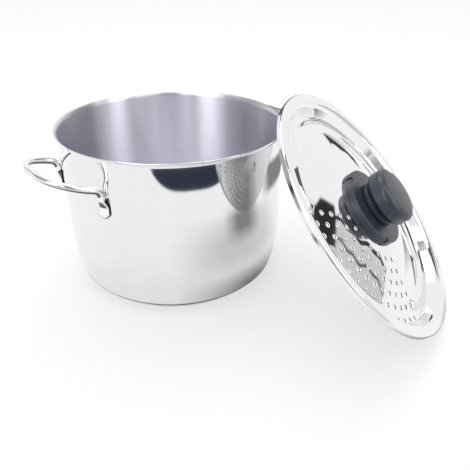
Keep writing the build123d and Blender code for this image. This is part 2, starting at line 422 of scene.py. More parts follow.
@dataclass
class Patch:
    """Part of a surface: points, unit normals, plan coordinates and faces with one finish."""

    points: np.ndarray
    normals: np.ndarray
    plan: np.ndarray
    quads: np.ndarray = field(default_factory=lambda: np.zeros((0, 4), int))
    tris: np.ndarray = field(default_factory=lambda: np.zeros((0, 3), int))
    finish: int = 0


@dataclass
class Outline:
    """Line of a section in radius and height, with a unit normal at each point."""

    points: np.ndarray
    normals: np.ndarray

    def part(self, first: int, last: int) -> "Outline":
        """The stretch from one point to another, both included."""
        return Outline(self.points[first:last + 1], self.normals[first:last + 1])


def trace(start: Pair, moves: "list[tuple[float, ...]]",
          step: float = 4.0, run: float = 0.004) -> Outline:
    """Follow straight runs and tangent arcs from a level start.

    An arc of radius R that turns by t puts its points at the centre plus R times the turned
    starting arm, and a run adds a multiple of the heading. The normals point to the left.

    Args:
        start: first radius and height.
        moves: runs as one length, arcs as a radius and a turn in degrees, positive to the left.
        step: largest turn between two points of an arc, in degrees.
        run: largest distance between two points of a run.
    Returns:
        The line with its left normals.
    """
    place, heading = np.array(start, float), 0.0
    points, lefts = [place[None]], [np.array([[0.0, 1.0]])]
    for move in moves:
        ahead = np.array([math.cos(heading), math.sin(heading)])
        left = np.array([-ahead[1], ahead[0]])
        if len(move) == 1:
            count = max(1, math.ceil(move[0] / run))
            shares = np.arange(1, count + 1)[:, None] / count
            points.append(place + shares * move[0] * ahead)
            lefts.append(np.repeat(left[None], count, 0))
        else:
            radius, turn = move[0], math.radians(move[1])
            side = 1 if turn > 0 else -1
            count = max(2, math.ceil(abs(move[1]) / step))
            angles = heading + turn * np.arange(1, count + 1) / count
            arms = np.stack([-np.sin(angles), np.cos(angles)], 1)
            points.append(place + side * radius * left - side * radius * arms)
            lefts.append(arms)
            heading += turn
        place = points[-1][-1]
    return Outline(np.concatenate(points), np.concatenate(lefts))


def sheet_outline(line: Outline, thickness: float) -> Outline:
    """Closed-in section of a sheet: the line, a half-round end and the line's offset.

    The offset is the point plus the thickness times its normal, and the end is half a circle
    about the middle of the edge.

    Args:
        line: path of the lower face, with normals towards the upper face.
        thickness: of the sheet.
    Returns:
        The outline from the lower face's start round the edge to the upper face's start.
    """
    left = line.normals[-1]
    ahead = np.array([left[1], -left[0]])
    angles = np.linspace(0, math.pi, CAP_STEPS + 1)[1:-1, None]
    arms = -np.cos(angles) * left + np.sin(angles) * ahead
    middle = line.points[-1] + left * thickness / 2
    points = np.concatenate([line.points, middle + arms * thickness / 2,
                             (line.points + line.normals * thickness)[::-1]])
    return Outline(points, np.concatenate([-line.normals, arms, line.normals[::-1]]))


def lathe(outline: Outline, count: int = 240, finish: int = 0) -> Patch:
    """Turn an outline about the upright axis.

    The point of radius r and height h goes to (r cos a, r sin a, h) for each angle a.

    Args:
        outline: section whose solid side is on its right.
        count: number of steps round.
        finish: number of the material slot.
    Returns:
        The surface as a patch.
    """
    turn = round_arms(np.arange(count) * TAU / count)

    def spun(pairs: np.ndarray) -> np.ndarray:
        """Radius and height pairs at every angle, ring by ring."""
        flat = pairs[:, None, :1] * turn[None]
        return np.concatenate([flat, np.repeat(pairs[:, None, 1:], count, 1)], 2).reshape(-1, 3)

    points = spun(outline.points)
    return Patch(points, spun(outline.normals), points[:, :2],
                 grid_quads(len(outline.points), count), finish=finish)


def tube(centres: np.ndarray, ahead: np.ndarray, across: np.ndarray,
         wide: np.ndarray, thick: np.ndarray, count: int = 28) -> Patch:
    """Carry an ellipse along a line.

    A point is the centre plus wide cos a along the first axis plus thick sin a along the second,
    which is square to the line and to the first.

    Args:
        centres: points of the line.
        ahead: unit directions of the line.
        across: unit directions of the ellipse's first axis.
        wide: half width of each ellipse along the first axis.
        thick: half width of each ellipse along the second axis.
        count: number of steps round.
    Returns:
        The surface as a patch, closed where the half widths are zero.
    """
    up = np.cross(ahead, across)
    angles = np.arange(count) * TAU / count
    cosine, sine = np.cos(angles)[None, :, None], np.sin(angles)[None, :, None]
    arms = across[:, None] * cosine * wide[:, None, None] + up[:, None] * sine * thick[:, None, None]
    points = (centres[:, None] + arms).reshape(-1, 3)
    along = np.gradient(centres[:, None] + arms, axis=0)
    spin = across[:, None] * -sine * np.maximum(wide, 1e-5)[:, None, None]
    spin = spin + up[:, None] * cosine * np.maximum(thick, 1e-5)[:, None, None]
    normals = unit(np.cross(spin, along).reshape(-1, 3))
    return Patch(points, normals, points[:, :2], grid_quads(len(centres), count))


@dataclass
class Pose:
    """Place of a piece's own frame in the pot's frame."""

    origin: np.ndarray = field(default_factory=lambda: np.zeros(3))
    axes: np.ndarray = field(default_factory=lambda: np.eye(3))

    def points(self, local: np.ndarray) -> np.ndarray:
        """Points moved to the pot's frame."""
        return local @ self.axes + self.origin

    def directions(self, local: np.ndarray) -> np.ndarray:
        """Directions turned to the pot's frame."""
        return local @ self.axes

    def raised(self, height: float) -> "Pose":
        """The same place, moved along its own upright axis."""
        return Pose(self.points(np.array([0, 0, height])), self.axes)


def build(name: str, patches: "list[Patch]", finishes: "list[bpy.types.Material]", body: str,
          stands_for: "tuple[str, ...]", pose: "Pose | None" = None) -> bpy.types.Object:
    """Join patches into one closed mesh, at its place, and hand it to the frame.

    Points that lie on each other are merged, so seams and poles close, and each corner of a face
    keeps the normal of its own patch.

    Args:
        name: of the piece.
        patches: its surfaces.
        finishes: its materials in slot order.
        body: body that it rides on.
        stands_for: nodes that it replaces.
        pose: place of the patches' frame.
    Returns:
        The object.
    """
    pose = pose or Pose()
    starts = np.cumsum([0] + [len(p.points) for p in patches])
    local = np.concatenate([p.points for p in patches])
    normals = pose.directions(np.concatenate([p.normals for p in patches]))
    plan = np.concatenate([p.plan for p in patches])
    _, first, same = np.unique(np.round(local * 2e6).astype(np.int64), axis=0,
                               return_index=True, return_inverse=True)
    same = same.reshape(-1)
    loops, faces, finish = [], [], []
    for patch, start in zip(patches, starts):
        corners = [row for row in (patch.quads + start, patch.tris + start) if len(row)]
        for block in corners:
            for group in split_collapsed(block, same):
                if len(group):
                    loops.append(group.reshape(-1))
                    faces += same[group].tolist()
                    finish.append(np.full(len(group), patch.finish))
    loops = np.concatenate(loops)
    mesh = bpy.data.meshes.new(name)
    mesh.from_pydata(pose.points(local[first]).tolist(), [], faces)
    mesh.polygons.foreach_set("use_smooth", np.ones(len(mesh.polygons), bool))
    mesh.polygons.foreach_set("material_index", np.concatenate(finish).astype(np.int32))
    for material in finishes:
        mesh.materials.append(material)
    layer = mesh.uv_layers.new(name="plan")
    layer.data.foreach_set("uv", plan[loops].astype(np.float32).ravel())
    mesh.normals_split_custom_set(normals[loops].tolist())
    made = add_object(name, mesh)
    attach(made, body)
    if stands_for:
        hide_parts(*stands_for)
    log.info("%s: %d faces on %s", name, len(mesh.polygons), body)
    return made


def split_collapsed(faces: np.ndarray, same: np.ndarray) -> "list[np.ndarray]":
    """Turn four-sided faces with two corners in one place into triangles.

    Args:
        faces: rows of corner numbers.
        same: merged number of each corner.
    Returns:
        The whole faces and the triangles.
    """
    if faces.shape[1] == 3:
        return [faces]
    merged = same[faces]
    groups, whole = [], np.ones(len(faces), bool)
    for corner in range(4):
        twin = merged[:, corner] == merged[:, (corner + 1) % 4]
        keep = [index for index in range(4) if index != corner]
        groups.append(faces[twin & whole][:, keep])
        whole &= ~twin
    return [faces[whole]] + groups


# Pot

@dataclass
class Pot:
    """Deep-drawn pot body with its base and two wire handles."""

    bore_radius: float = 0.110
    wall: float = 0.0008
    height: float = 0.159
    belly_height: float = 0.056
    belly_radius: float = 0.155
    corner_radius: float = 0.008
    lip_bend_radius: float = 0.005
    lip_turn: float = 60.0
    cap_wall: float = 0.0006
    core_thickness: float = 0.0048
    cap_edge_radius: float = 0.0016
    wire_radius: float = 0.003
    half_span: float = 0.0435
    reach: float = 0.0413
    slope: float = math.radians(19.1)
    loop_radius: float = 0.0345
    bend_radius: float = 0.0085
    handle_drop: float = 0.0297
    foot_length: float = 0.0273
    foot_width: float = 0.0105
    foot_thickness: float = 0.0038
    foot_taper: float = 0.008
    foot_trim: float = 0.0004

    def __post_init__(self) -> None:
        """Work out the sizes that follow from the others."""
        self.wall_radius = self.bore_radius + self.wall
        self.base_height = self.cap_wall + self.core_thickness
        fall = self.belly_height - self.base_height - self.corner_radius
        self.belly_turn = math.asin(fall / (self.belly_radius - self.corner_radius))
        inset = self.belly_radius - (self.belly_radius - self.corner_radius) * math.cos(self.belly_turn)
        self.base_radius = self.wall_radius - inset
        neutral = self.lip_bend_radius + self.wall / 2
        turn = math.radians(self.lip_turn)
        self.lip_start = self.height - self.wall / 2 - neutral * math.sin(turn)
        self.lip_radius = self.wall_radius + neutral * (1 - math.cos(turn))
        self.handle_height = self.height - self.handle_drop

    def shell(self) -> "list[Patch]":
        """Surfaces of the body: the outside with the lip's edge, and the inside."""
        belly = math.degrees(self.belly_turn)
        line = trace((0, self.base_height),
                     [(self.base_radius,), (self.corner_radius, 90 - belly),
                      (self.belly_radius, belly), (self.lip_start - self.belly_height,),
                      (self.lip_bend_radius, -self.lip_turn)], step=2.0)
        whole = sheet_outline(line, self.wall)
        edge = len(line.points) + CAP_STEPS - 1
        return [lathe(whole.part(0, edge), 360), lathe(whole.part(edge, len(whole.points) - 1), 360, 1)]

    def cap(self) -> "list[Patch]":
        """Surface of the steel capsule under the pot."""
        line = trace((0, 0), [(self.base_radius - self.cap_edge_radius,), (self.cap_edge_radius, 90),
                              (self.base_height - self.cap_edge_radius,)], step=6.0)
        return [lathe(sheet_outline(line, self.cap_wall), 360)]

    def handle_line(self) -> "tuple[np.ndarray, np.ndarray]":
        """Middle line of the wire on the -X side, and its unit directions.

        Half of it is traced in the plane of one foot: up the foot, round the bend, out along the
        slope and round the loop's corner, where the distance along the slope is the leg plus the
        corner's radius times the sine, and the side step is the radius times one less the cosine.
        The other half mirrors it in Y.

        Returns:
            Points and directions from toe to toe.
        """
        foot_radius = self.wall_radius + self.wire_radius
        x_foot = -math.sqrt(foot_radius ** 2 - self.half_span ** 2)
        tangent = self.bend_radius * math.tan((math.pi / 2 - self.slope) / 2)
        rise = np.linspace(-self.foot_length, -tangent, 40)
        foot = np.stack([np.zeros(40), np.zeros(40), rise], 1)
        turn = np.linspace(0, math.pi / 2 - self.slope, 16)[1:]
        bend = np.stack([self.bend_radius * (np.cos(turn) - 1), 0 * turn,
                         self.bend_radius * np.sin(turn) - tangent], 1)
        out = np.array([-math.cos(self.slope), 0, math.sin(self.slope)])
        leg = np.linspace(tangent, self.reach - self.loop_radius, 6)[1:, None] * out
        turn = np.linspace(0, math.pi / 2, 30)[1:, None]
        corner = (self.reach - self.loop_radius + self.loop_radius * np.sin(turn)) * out
        corner = corner + self.loop_radius * (1 - np.cos(turn)) * np.array([0, 1.0, 0])
        half = np.concatenate([foot, bend, leg, corner])
        half += np.array([x_foot, -self.half_span, self.handle_height])
        middle = np.linspace(half[-1], half[-1] * np.array([1, -1, 1]), 8)[1:-1]
        line = np.concatenate([half, middle, half[::-1] * np.array([1, -1, 1])])
        ahead = np.gradient(line, axis=0)
        return line, unit(ahead)

    def handle(self, side: int) -> "list[Patch]":
        """Surface of one bent wire, round along its loop and pressed flat at its feet.

        Args:
            side: -1 for the handle on -X and 1 for the other.
        Returns:
            One patch, closed at both toes.
        """
        line, ahead = self.handle_line()
        lift = np.array([math.sin(self.slope), 0, math.cos(self.slope)])
        across = unit(np.cross(lift, ahead))
        side_step = unit(np.stack([-line[:, 1], line[:, 0], 0 * line[:, 0]], 1))
        side_step *= np.sign((side_step * across).sum(1))[:, None]
        low = self.handle_height - self.bend_radius
        flat = smooth_step(np.clip((low - line[:, 2]) / self.foot_taper, 0, 1))
        turn = np.clip((self.handle_height - line[:, 2]) / self.bend_radius, 0, 1)[:, None]
        across = across * (1 - turn) + side_step * turn
        across = unit(across - ahead * (across * ahead).sum(1)[:, None])
        from_toe = line[:, 2] - self.handle_height + self.foot_length
        toe = np.clip(from_toe / (self.foot_width * 0.5), 0, 1)
        toe = np.where(line[:, 2] < low, toe, 1.0)
        blunt = np.sqrt(np.maximum(1 - (1 - toe) ** 2, 0.0))
        wide = (self.wire_radius + (self.foot_width / 2 - self.wire_radius) * flat) * blunt
        thick = (self.wire_radius + (self.foot_thickness / 2 - self.wire_radius) * flat)
        thick = thick * np.minimum(1.0, blunt * 1.6)
        inward = self.wire_radius - self.foot_thickness / 2 + self.foot_trim
        radial = unit(np.stack([line[:, 0], line[:, 1], 0 * line[:, 0]], 1))
        line = line - radial * (inward * flat)[:, None]
        patch = tube(line, ahead, across, wide, thick)
        if side > 0:
            patch.points = patch.points * np.array([-1, -1, 1])
            patch.normals = patch.normals * np.array([-1, -1, 1])
        return [patch]

    def assemble(self, outside: bpy.types.Material, inside: bpy.types.Material,
                 under: bpy.types.Material, wire: bpy.types.Material) -> None:
        """Build the pot's pieces.

        Args:
            outside: finish of the outside and the lip.
            inside: finish of the inside.
            under: finish of the base.
            wire: finish of the handles.
        """
        build("pot_body", self.shell(), [outside, inside], "pot", ("pot_shell",))
        build("base_capsule", self.cap(), [under], "pot", ("base_cap",))
        for side, name in ((-1, "left"), (1, "right")):
            build("wire_handle_" + name, self.handle(side), [wire], "pot", ("handle_" + name,))


# Lid

@dataclass
class Lid:
    """Stamped strainer lid on its own axis, with the top of its flange at height zero."""

    pot: Pot
    radius: float = 0.1275
    sheet: float = 0.0007
    skirt: float = 0.0046
    edge_radius: float = 0.002
    flange_width: float = 0.0065
    plug_depth: float = 0.0116
    plug_slope: float = 65.0
    plug_bend_radius: float = 0.007
    plug_foot_radius: float = 0.0022
    seat_radius: float = 0.0395
    seat_bend_radius: float = 0.020
    dome_radius: float = 0.420
    dome_start: float = math.radians(5.6)
    dome_end: float = math.radians(13.2)
    floor_bend_radius: float = 0.020
    rib_radius: float = 0.097
    rib_rise: float = 0.0033
    rib_half_width: float = 0.0080
    rib_end_gap: float = math.radians(5.8)
    hole_radius: float = 0.0018
    hole_pitch: float = 0.01143
    first_arc: float = 0.0526
    arc_pitch: float = 0.01092
    inner_arcs: int = 5
    first_arc_holes: int = 7
    holes_added: int = 2
    rim_arc_holes: int = 16
    rim_arc_margin: float = 0.0002
    sector_middle: float = math.radians(197.1)
    stand_azimuth: float = math.radians(-59.8)
    face_azimuth: float = math.radians(-61.3)
    tilt: float = math.radians(47.65)
    gap: float = 0.0252
    ring_count: int = 360
    hole_steps: int = 20
    coarse_rings: "tuple[float, float, int]" = (0.002, 0.082, 36)
    coarse_step: float = 0.0024
    fine_rings: "tuple[float, float, int]" = (0.0834, 0.1058, 17)
    fine_step: float = 0.0016
    hole_halo: float = 0.0009
    hole_clearance: float = 0.0016

    def __post_init__(self) -> None:
        """Work out the sizes that follow from the others."""
        slope = math.radians(self.plug_slope)
        bends = self.plug_foot_radius + self.plug_bend_radius
        self.plug_wall = (self.plug_depth - bends * (1 - math.cos(slope))) / math.sin(slope)
        run = bends * math.sin(slope) + self.plug_wall * math.cos(slope)
        self.join_radius = self.radius - self.flange_width - run
        self.rim_arc = self.join_radius - self.rim_arc_margin - self.hole_radius
        panel = trace((0, 0), [(self.seat_radius,),
                               (self.seat_bend_radius, -math.degrees(self.dome_start)),
                               (self.dome_radius, math.degrees(self.dome_start - self.dome_end)),
                               (self.floor_bend_radius, math.degrees(self.dome_end))], 0.2, 0.002)
        self.seat_level = -self.plug_depth - panel.points[-1, 1]
        self.panel_line = panel.points + panel.normals * self.sheet + [0, self.seat_level - self.sheet]

    def pose(self) -> Pose:
        """Place of the lid where it stands on its edge and leans towards the pot."""
        sine, cosine = math.sin(self.tilt), math.cos(self.tilt)
        height = self.radius * sine + self.skirt * cosine
        away = self.pot.lip_radius + (self.gap - cosine * (height - self.pot.height)) / sine
        side, stand = self.face_azimuth, self.stand_azimuth
        axis = np.array([sine * math.cos(side), sine * math.sin(side), cosine])
        right = np.array([-math.sin(side), math.cos(side), 0.0])
        origin = np.array([away * math.cos(stand), away * math.sin(stand), height])
        return Pose(origin, np.stack([right, np.cross(axis, right), axis]))

    def level(self, x: np.ndarray, y: np.ndarray) -> np.ndarray:
        """Height of the panel's top: the turned section plus the C-shaped rib.

        The rib lifts the panel towards its crest by a raised cosine of the distance to the rib's
        middle line, an arc with round ends.

        Args:
            x: first coordinates.
            y: second coordinates.
        Returns:
            Heights.
        """
        radius = np.hypot(x, y)
        flat = np.interp(radius, self.panel_line[:, 0], self.panel_line[:, 1])
        last = (self.rim_arc_holes - 1) / 2 * self.hole_pitch / self.rim_arc + self.rib_end_gap
        off = np.abs((np.arctan2(y, x) - self.sector_middle + math.pi) % TAU - math.pi)
        beside = np.abs(radius - self.rib_radius)
        past = np.hypot(radius * np.cos(last - off) - self.rib_radius, radius * np.sin(last - off))
        share = np.clip(np.where(off > last, beside, past) / self.rib_half_width, 0, 1)
        lift = 0.5 + 0.5 * np.cos(math.pi * share)
        return flat + (self.rib_rise - self.plug_depth - flat) * lift

    def slopes(self, x: np.ndarray, y: np.ndarray) -> np.ndarray:
        """Unit normals of the panel's top, from differences of its height."""
        step = 0.0002
        dx = (self.level(x + step, y) - self.level(x - step, y)) / (2 * step)
        dy = (self.level(x, y + step) - self.level(x, y - step)) / (2 * step)
        return unit(np.stack([-dx, -dy, np.ones_like(dx)], 1))

    def holes(self) -> np.ndarray:
        """Middles of the strainer holes, arc by arc."""
        radii = [self.first_arc + k * self.arc_pitch for k in range(self.inner_arcs)] + [self.rim_arc]
        counts = [self.first_arc_holes + k * self.holes_added for k in range(self.inner_arcs)]
        counts.append(self.rim_arc_holes)
        middles = []
        for radius, count in zip(radii, counts):
            angle = self.sector_middle + (np.arange(count) - (count - 1) / 2) * self.hole_pitch / radius
            middles.append(radius * round_arms(angle))
        return np.concatenate(middles)

    def panel(self) -> "list[Patch]":
        """Perforated panel: its top, its underside and the walls of its holes.

        Points on rings about the axis, and on circles round each hole, are joined to triangles in
        plan, and the triangles inside the holes are left out. The top then takes the height of
        the panel, and the underside lies a sheet's thickness below it along the normal.

        Returns:
            Three patches that meet the rim at its first ring.
        """
        middles, around, spots = self.holes(), self.hole_steps, []
        for rings, step in ((self.coarse_rings, self.coarse_step), (self.fine_rings, self.fine_step)):
            for radius in np.linspace(*rings):
                count = int(max(8, radius * TAU / step))
                angle = (np.arange(count) + radius * 1e4 % 1) * TAU / count
                spots.append(radius * round_arms(angle))
        spots = np.concatenate(spots)
        near = np.linalg.norm(spots[:, None] - middles[None], axis=2).min(1)
        spots = spots[near > self.hole_radius + self.hole_clearance]
        arm = round_arms(np.arange(around) * TAU / around)
        rims = (middles[:, None] + self.hole_radius * arm[None]).reshape(-1, 2)
        halos = middles[:, None] + (self.hole_radius + self.hole_halo) * arm[None]
        halos = halos.reshape(-1, 2)
        halos = halos[np.hypot(halos[:, 0], halos[:, 1]) < self.join_radius - 0.0001]
        edge = self.join_radius * round_arms(np.arange(self.ring_count) * TAU / self.ring_count)
        plan = np.concatenate([rims, edge, halos, spots])
        first = np.arange(len(rims)).reshape(-1, around)
        links = np.stack([first, np.roll(first, -1, 1)], 2).reshape(-1, 2)
        ring = len(rims) + np.arange(self.ring_count)
        links = np.concatenate([links, np.stack([ring, np.roll(ring, -1)], 1)])
        made = delaunay_2d_cdt([Vector(p) for p in plan.tolist()], links.tolist(), [], 0, 1e-7)
        flat = np.array([tuple(v) for v in made[0]])
        tris = np.array(made[2])
        centre = flat[tris].mean(1)
        near = np.linalg.norm(centre[:, None] - middles[None], axis=2).min(1)
        tris = tris[near >= self.hole_radius * 0.98]
        a, b, c = flat[tris[:, 0]], flat[tris[:, 1]], flat[tris[:, 2]]
        clockwise = np.cross(b - a, c - a) < 0
        tris[clockwise] = tris[clockwise][:, ::-1]
        normals = self.slopes(flat[:, 0], flat[:, 1])
        top = np.column_stack([flat, self.level(flat[:, 0], flat[:, 1])])
        onto_edge = np.hypot(flat[:, 0], flat[:, 1]) > self.join_radius - 1e-6
        normals[onto_edge] = (0, 0, 1)
        top[onto_edge, 2] = -self.plug_depth
        under = top - normals * self.sheet
        upper = Patch(top, normals, flat, tris=tris)
        lower = Patch(under, -normals, flat, tris=tris[:, ::-1])
        count = len(rims)
        inward = np.concatenate([np.tile(-arm, (len(middles), 1)), np.zeros((count, 1))], 1)
        wall = np.concatenate([top[:count], under[:count]])
        after = np.roll(first, -1, 1)
        quads = np.stack([first, first + count, after + count, after], 2).reshape(-1, 4)
        walls = Patch(wall, np.concatenate([inward, inward]), wall[:, :2], quads)
        return [upper, lower, walls]

    def rim(self) -> "list[Patch]":
        """Plug wall, flange and skirt: a turned sheet that starts at the panel's edge."""
        line = trace((self.join_radius, -self.plug_depth - self.sheet),
                     [(self.plug_foot_radius, self.plug_slope), (self.plug_wall,),
                      (self.plug_bend_radius, -self.plug_slope),
                      (self.flange_width - self.edge_radius,),
                      (self.edge_radius - self.sheet, -90), (self.skirt - self.edge_radius,)], 5.0)
        return [lathe(sheet_outline(line, self.sheet), self.ring_count)]

    def assemble(self, steel: bpy.types.Material) -> None:
        """Build the lid's sheet, dressed in a steel finish."""
        build("lid_sheet", self.panel() + self.rim(), [steel], "lid", ("lid_shell",),
              self.pose())


# Knob

@dataclass
class Knob:
    """Two-part moulded knob on the lid's seat."""

    lid: Lid
    base_radius: float = 0.0382
    base_rim: float = 0.005
    bevel: float = 0.0012
    crown: float = 0.0016
    notch_width: float = 0.003
    notch_depth: float = 0.0032
    notch_floor: float = 0.0012
    notch_count: int = 3
    notch_angle: float = math.radians(102.0)
    neck_radius: float = 0.022
    neck_land: float = 0.0042
    grip_radius: float = 0.0268
    flare: float = 0.006
    band: float = 0.007
    edge_radius: float = 0.0065
    top_slope: float = math.radians(7.0)
    groove: float = 0.0006
    groove_width: float = 0.0009
    neck_edge: float = 0.0003
    neck_gap: float = 0.0004
    base_steps: int = 900

    @property
    def base_top(self) -> float:
        """Height of the base's middle above the seat."""
        return self.base_rim + self.bevel + self.crown

    def base(self) -> "list[Patch]":
        """Base disc: bevelled rim, crowned top and three notches cut into the rim.

        In a notch the radius is cut down to the notch's floor by a steep smooth step of the
        angle and of the height.

        Returns:
            One patch.
        """
        count, soft, across_blur, up_blur = self.base_steps, 0.0003, 0.00025, 0.0002
        corner = np.linspace(0, math.pi / 2, 8)
        shoulder = self.base_radius - self.bevel
        low = np.stack([self.base_radius - soft + soft * np.sin(corner),
                        soft - soft * np.cos(corner)], 1)
        side = np.stack([np.full(24, self.base_radius), np.linspace(soft, self.base_rim, 24)], 1)
        bevel = np.stack([shoulder + self.bevel * np.cos(corner),
                          self.base_rim + self.bevel * np.sin(corner)], 1)
        share = np.linspace(0, 1, 16)[1:]
        top = np.stack([shoulder * (1 - share),
                        self.base_rim + self.bevel + self.crown * np.sin(share * math.pi / 2)], 1)
        line = np.concatenate([[[0, 0]], [[shoulder * 0.9, 0]], low, side[1:], bevel[1:], top])
        angle = np.arange(count) * TAU / count
        off = (angle - self.notch_angle + math.pi / self.notch_count) % (TAU / self.notch_count)
        off = np.abs(off - math.pi / self.notch_count) * self.base_radius
        cut = np.clip((self.notch_width / 2 - off) / across_blur + 0.5, 0, 1)[None, :]
        high = np.clip((line[:, 1] - self.notch_floor) / up_blur, 0, 1)[:, None]
        floor = self.base_radius - self.notch_depth
        radius = line[:, :1] + (np.minimum(line[:, :1], floor) - line[:, :1]) * cut * high
        points = np.stack([radius * np.cos(angle), radius * np.sin(angle),
                           np.repeat(line[:, 1:], count, 1)], 2)
        along = np.gradient(points, axis=0)
        around = np.roll(points, -1, 1) - np.roll(points, 1, 1)
        normals = np.cross(around, along)
        normals[0], normals[-1] = (0, 0, -1), (0, 0, 1)
        flat = points.reshape(-1, 3)
        return [Patch(flat, unit(normals).reshape(-1, 3), flat[:, :2], grid_quads(len(line), count))]

    def grip(self) -> "list[Patch]":
        """Grip: grooved neck, flare by a smooth step, straight band, round edge and domed top.

        Returns:
            One patch, turned about the axis.
        """
        neck, land = self.neck_radius, self.neck_land
        soft = np.linspace(0, math.pi, 9)
        groove = np.stack([neck - self.groove * np.sin(soft) ** 0.7,
                           land - self.groove_width + self.groove_width * (1 - np.cos(soft)) / 2], 1)
        share = np.linspace(0, 1, 20)[1:]
        flare = np.stack([neck + (self.grip_radius - neck) * smooth_step(share),
                          land + self.flare * share], 1)
        top = land + self.flare + self.band
        straight = np.linspace((self.grip_radius, land + self.flare), (self.grip_radius, top), 8)[1:]
        turn = np.linspace(0, math.pi / 2 - self.top_slope, 18)[1:]
        middle = np.array([self.grip_radius - self.edge_radius, top])
        edge = middle + self.edge_radius * round_arms(turn)
        big = edge[-1, 0] / math.sin(self.top_slope)
        turn = np.linspace(self.top_slope, 0, 10)[1:]
        lift = np.cos(turn) - math.cos(self.top_slope)
        dome = np.stack([big * np.sin(turn), edge[-1, 1] + big * lift], 1)
        foot = np.array([[0, 0], [neck - self.neck_edge, 0], [neck, self.neck_edge],
                         [neck, land - self.groove_width - self.neck_gap]])
        line = np.concatenate([foot, groove, flare, straight, edge, dome])
        ahead = np.gradient(line, axis=0)
        normals = np.stack([ahead[:, 1], -ahead[:, 0]], 1)
        normals[0], normals[-1] = (0, -1), (0, 1)
        return [lathe(Outline(line, unit(normals)), 240)]

    def assemble(self, skin: bpy.types.Material) -> None:
        """Build the knob's base and grip in one finish."""
        pose = self.lid.pose()
        seat, top = self.lid.seat_level, self.lid.seat_level + self.base_top
        build("knob_foot_disc", self.base(), [skin], "lid", ("knob_base",),
              pose.raised(seat))
        build("knob_grip_body", self.grip(), [skin], "lid", ("knob_grip",),
              pose.raised(top))


# Room

@dataclass(frozen=True, kw_only=True)
class Cloth:
    """Plain cloth of the studio, which only reflections see.

    Its turn is its first and last bearing, in degrees from the picture's right towards the back,
    its level is its brightness, where 1 is white, and it fades out over the soft share of its
    width at each edge.
    """

    name: str
    turn: Pair
    level: float
    soft: float
    tint: Triple = (1.0, 1.0, 1.01)

    def bearings(self, zero: float) -> np.ndarray:
        """Row of angles about the upright axis, where the zero is the picture's right."""
        return np.radians(np.linspace(*self.turn, CLOTH_COLUMNS))[None] - zero

    def finish(self) -> bpy.types.Material:
        """Build a glow that fades at the edges.

        Its strength is the product of the distances to the edges, each divided by the soft share
        and capped at 1.

        Returns:
            The material.
        """
        recipe = Recipe(self.name)
        colour = (*(self.level * part for part in self.tint), 1)
        glow = recipe.node("ShaderNodeEmission", {}, {"Color": colour})
        clear = recipe.node("ShaderNodeBsdfTransparent")
        u, v = recipe.plan()
        fade = (u / self.soft).capped() * ((1 - u) / self.soft).capped()
        fade = fade * (v / self.soft).capped() * ((1 - v) / self.soft).capped()
        recipe.finish(recipe.node("ShaderNodeMixShader", {}, {0: fade, 1: clear, 2: glow}))
        return recipe.material

    def hang(self, points: np.ndarray) -> None:
        """Make the cloth on a grid of points and mark it as no part of the object.

        Args:
            points: of the cloth, in two directions.
        """
        rows, columns = points.shape[:2]
        quads = grid_quads(rows, columns, closed=False)
        mesh = bpy.data.meshes.new(self.name)
        mesh.from_pydata(points.reshape(-1, 3).tolist(), [], quads.tolist())
        plan = np.stack([quads % columns / (columns - 1), quads // columns / (rows - 1)], 2)
        layer = mesh.uv_layers.new(name="plan")
        layer.data.foreach_set("uv", plan.astype(np.float32).ravel())
        mesh.materials.append(self.finish())
        made = add_object(self.name, mesh)
        made.visible_camera = made.visible_diffuse = made.visible_shadow = False


@dataclass(frozen=True, kw_only=True)
class Flag(Cloth):
    """Cloth on part of a ball about a point, between two angles of rise in degrees.

    The wave is the height of its upper edge's waves and the side the width of its sway, in
    degrees.
    """

    rise: Pair
    soft: float = 0.04
    radius: float = 1.6
    wave: float = 0.0
    side: float = 0.0
    centre: Triple = (0.0, 0.0, 0.0)

    def points(self, zero: float) -> np.ndarray:
        """Points of the flag.

        The point at turn a and rise e lies at the radius. The upper edge waves by a sum of two
        sines of the turn, and the whole band sways sideways by two sines of the rise.

        Args:
            zero: bearing of the picture's right in the object's frame.
        Returns:
            Grid of points.
        """
        flat = self.bearings(zero)
        bearing = flat + zero
        low, high = self.rise
        top = high + self.wave * (np.sin(9 * bearing) + 0.6 * np.sin(23 * bearing + 1.0))
        lift = low + (top - low) * np.linspace(0, 1, 40)[:, None]
        flat = flat + math.radians(self.side) * (np.sin(lift * 0.45) + 0.6 * np.sin(lift * 1.1 + 1.0))
        lift = np.radians(lift)
        arms = np.stack([np.cos(lift) * np.cos(flat), np.cos(lift) * np.sin(flat), np.sin(lift)], 2)
        return self.radius * arms + np.array(self.centre)


@dataclass(frozen=True, kw_only=True)
class Mat(Cloth):
    """Cloth on the floor, part of a ring about the pot's axis between two distances.

    The bow is how far the ends of its near edge lie out.
    """

    reach: Pair
    soft: float = 0.3
    bow: float = 0.0
    tint: Triple = (1.0, 1.0, 0.99)

    def points(self, zero: float, height: float) -> np.ndarray:
        """Points of the mat.

        The near edge moves out by the bow times the fourth power of the place between the
        middle and an end.

        Args:
            zero: bearing of the picture's right in the object's frame.
            height: above the floor, which keeps mats apart.
        Returns:
            Grid of points.
        """
        bearing = self.bearings(zero)
        near = self.reach[0] + self.bow * np.linspace(-1, 1, CLOTH_COLUMNS)[None] ** 4
        away = near + (self.reach[1] - near) * np.linspace(0, 1, 6)[:, None]
        return np.stack([away * np.cos(bearing), away * np.sin(bearing),
                         height + 0 * away * bearing], 2)


LID_SIDE = (0.10, -0.17, 0.10)

